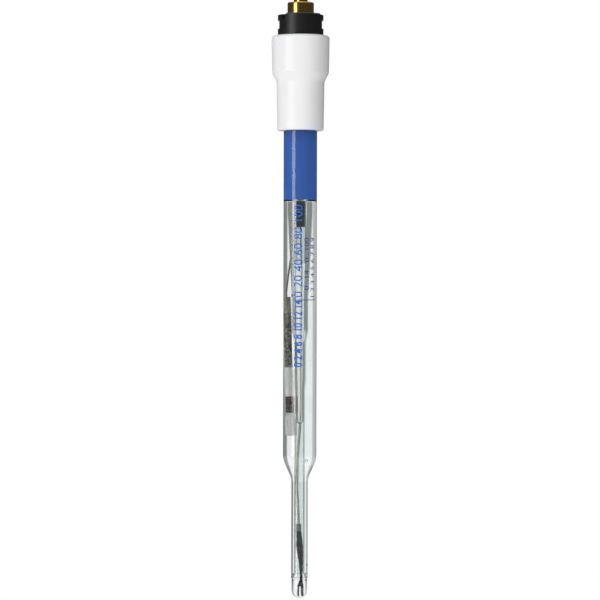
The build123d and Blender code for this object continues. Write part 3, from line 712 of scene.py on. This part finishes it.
# Ferrule, crimped on the end of the wire
ferrule = {"radius": 0.75, "round": 0.3, "top": -141.2, "bottom": -143.9, "offset": -0.24}
ferruleOutline = [
    (0, ferrule["top"]),
    (ferrule["radius"], ferrule["top"], ferrule["round"]),
    (ferrule["radius"], ferrule["bottom"]),
    (0, ferrule["bottom"]),
]
ferruleMesh = spinOutline(ferruleOutline, closed=False, steps=48)
bmesh.ops.translate(ferruleMesh, vec=(ferrule["offset"], 0, 0), verts=ferruleMesh.verts)
addPiece("wireFerrule", ferruleMesh, tinnedFerrule, "ferrule_metal", "wire_ferrule")

# Ceramic junction in the wall of the tip, on the right
junction = {"height": -155.9, "radius": 0.4, "length": 0.87, "proud": 0.008}
junctionMesh = bmesh.new()
bmesh.ops.create_cone(
    junctionMesh,
    cap_ends=True,
    segments=48,
    radius1=junction["radius"],
    radius2=junction["radius"],
    depth=junction["length"],
)
outward = shaft["tipRadius"] + junction["proud"] - junction["length"] / 2
inWall = Matrix.Translation((outward, 0, junction["height"])) @ Matrix.Rotation(math.radians(90), 4, "Y")
bmesh.ops.transform(junctionMesh, matrix=inWall, verts=junctionMesh.verts)
addPiece("junctionPin", junctionMesh, porousCeramic, "junction_ceramic", "junction_pin")

print("stage 5: rough inner electrode")

# The baked coat: the CAD shape remeshed finely, smoothed and pushed about by two sizes of noise.
# Its sections are height, offset from the axis and radius.
coat = {
    "weld": 0.001,
    "voxel": 0.09,
    "lump": 0.9,
    "lumpDepth": 0.10,
    "grit": 0.28,
    "gritDepth": 0.05,
    "gritShift": (7, 3, 5),
    "smoothings": 4,
    "ballStep": 0.3,
    "sections": [
        (-143.8, -0.2, 0.78),
        (-147.2, 0.0, 0.88),
        (-150.8, 0.16, 0.88),
        (-154.3, 0.4, 0.66),
        (-157.4, 0.46, 0.52),
    ],
}
coatSource = bmesh.new()
coatSource.from_mesh(nodes["inner_electrode"].data)
bmesh.ops.remove_doubles(coatSource, verts=coatSource.verts, dist=coat["weld"] * millimetre)
# Balls along the sections keep the crust at its full width from the ferrule down
for (highZ, highX, highRadius), (lowZ, lowX, lowRadius) in zip(coat["sections"], coat["sections"][1:]):
    count = round((highZ - lowZ) / coat["ballStep"])
    for index in range(count):
        share = index / count
        centre = Vector((highX, 0, highZ)).lerp(Vector((lowX, 0, lowZ)), share)
        bmesh.ops.create_icosphere(
            coatSource,
            subdivisions=2,
            radius=(highRadius + (lowRadius - highRadius) * share) * millimetre,
            matrix=Matrix.Translation(centre * millimetre),
        )
coatData = bpy.data.meshes.new("coatSource")
coatSource.to_mesh(coatData)
coatSource.free()
coatHolder = bpy.data.objects.new("coatSource", coatData)
scene.collection.objects.link(coatHolder)
remesh = coatHolder.modifiers.new("remesh", "REMESH")
remesh.mode = "VOXEL"
remesh.voxel_size = coat["voxel"] * millimetre
evaluated = coatHolder.evaluated_get(bpy.context.evaluated_depsgraph_get())
remeshed = bpy.data.meshes.new_from_object(evaluated)
coatMesh = bmesh.new()
coatMesh.from_mesh(remeshed)
bpy.data.objects.remove(coatHolder)
bmesh.ops.scale(coatMesh, vec=[1 / millimetre] * 3, verts=coatMesh.verts)
for _ in range(coat["smoothings"]):
    bmesh.ops.smooth_vert(
        coatMesh, verts=coatMesh.verts, factor=0.5, use_axis_x=True, use_axis_y=True, use_axis_z=True
    )
coatMesh.normal_update()
pushes = []
for vert in coatMesh.verts:
    lump = noise.noise(vert.co / coat["lump"]) * coat["lumpDepth"]
    grit = noise.noise(vert.co / coat["grit"] + Vector(coat["gritShift"])) * coat["gritDepth"]
    pushes.append(vert.normal * (lump + grit))
for vert, push in zip(coatMesh.verts, pushes):
    vert.co += push
addPiece("innerElectrode", coatMesh, bakedCoat, "silver_chloride_coat", "inner_electrode", sharpDegrees=80)

print("stage 6: print on the shaft")

# Generic marks that read upwards: a scale in thin strokes, a bold one below it and two small columns
# at the right. A column is: name, text, letter size, stroke widening, arc from the front to its baseline,
# bottom, length and ink. A rule is: left, bottom, width and height before it is turned to read upwards;
# they are a thin line round the front and a small mark beside its end.
printed = {
    "lift": 0.012,
    "thickness": 0.01,
    "strip": 0.25,
    "weld": 0.0005,
    "ruleArc": 6.5,
    "ruleHeight": -60.9,
}
columns = [
    ("boldScale", "0 2 4 6 8 10 12 14", 4.2, 0.09, 0.72, -84.8, 24.0, boldInk),
    ("thinScale", "0 20 40 60 80 100", 4.2, 0.0, 0.72, -59.8, 33.0, boldInk),
    ("smallRange", "0...14   0...100", 2.6, 0.0, 3.36, -57.2, 18.7, fineInk),
    ("smallSteps", "1 2 3 4 5 6 7 8 9", 2.6, 0.0, 5.9, -59.7, 21.2, fineInk),
]
rules = [(0, 0, 0.25, 9.0), (1.2, 9.1, 0.9, 0.7)]


def flatText(body, size, widening):
    curve = bpy.data.curves.new("printText", "FONT")
    curve.body = body
    curve.size = size
    curve.offset = widening
    holder = bpy.data.objects.new("printText", curve)
    scene.collection.objects.link(holder)
    evaluated = holder.evaluated_get(bpy.context.evaluated_depsgraph_get())
    mesh = bpy.data.meshes.new_from_object(evaluated)
    bm = bmesh.new()
    bm.from_mesh(mesh)
    bpy.data.objects.remove(holder)
    bmesh.ops.remove_doubles(bm, verts=bm.verts, dist=printed["weld"])
    bmesh.ops.triangulate(bm, faces=bm.faces)
    return bm


def ends(bm):
    places = [vert.co.x for vert in bm.verts]
    return min(places), max(places)


def wrapOnShaft(bm, arc, bottom):
    # The flat print turns to read upwards, is cut into narrow strips and bent round the glass
    upwards = Matrix.Rotation(math.radians(90), 3, "Z")
    bmesh.ops.rotate(bm, cent=(0, 0, 0), matrix=upwards, verts=bm.verts)
    bmesh.ops.translate(bm, vec=(arc, bottom, 0), verts=bm.verts)
    low, high = ends(bm)
    cut = low + printed["strip"]
    while cut < high:
        everything = bm.verts[:] + bm.edges[:] + bm.faces[:]
        bmesh.ops.bisect_plane(
            bm, geom=everything, plane_co=(cut, 0, 0), plane_no=(1, 0, 0), dist=printed["weld"]
        )
        cut += printed["strip"]
    radius = shaft["radius"] + printed["lift"]
    for vert in bm.verts:
        angle = vert.co.x / radius
        vert.co = Vector((radius * math.sin(angle), -radius * math.cos(angle), vert.co.y))
    bmesh.ops.recalc_face_normals(bm, faces=bm.faces)
    if sum(face.normal.y * face.calc_area() for face in bm.faces) > 0:
        bmesh.ops.reverse_faces(bm, faces=bm.faces)
    bmesh.ops.solidify(bm, geom=bm.faces[:], thickness=printed["thickness"])
    bmesh.ops.recalc_face_normals(bm, faces=bm.faces)
    return bm


def flatBars(bars):
    bm = bmesh.new()
    for left, bottom, width, height in bars:
        centre = Matrix.Translation((left + width / 2, bottom + height / 2, 0))
        place = centre @ Matrix.Diagonal((width, height, 1, 1))
        bmesh.ops.create_grid(bm, x_segments=1, y_segments=1, size=0.5, matrix=place)
    return bm


for name, body, size, widening, arc, bottom, length, ink in columns:
    text = flatText(body, size, widening)
    low, high = ends(text)
    bmesh.ops.translate(text, vec=(-low, 0, 0), verts=text.verts)
    bmesh.ops.scale(text, vec=(length / (high - low), 1, 1), verts=text.verts)
    addPiece(name, wrapOnShaft(text, arc, bottom), ink, "blue_plastic", sharpDegrees=60)
ruleMesh = wrapOnShaft(flatBars(rules), printed["ruleArc"], printed["ruleHeight"])
addPiece("printedRule", ruleMesh, fineInk, "blue_plastic", sharpDegrees=60)
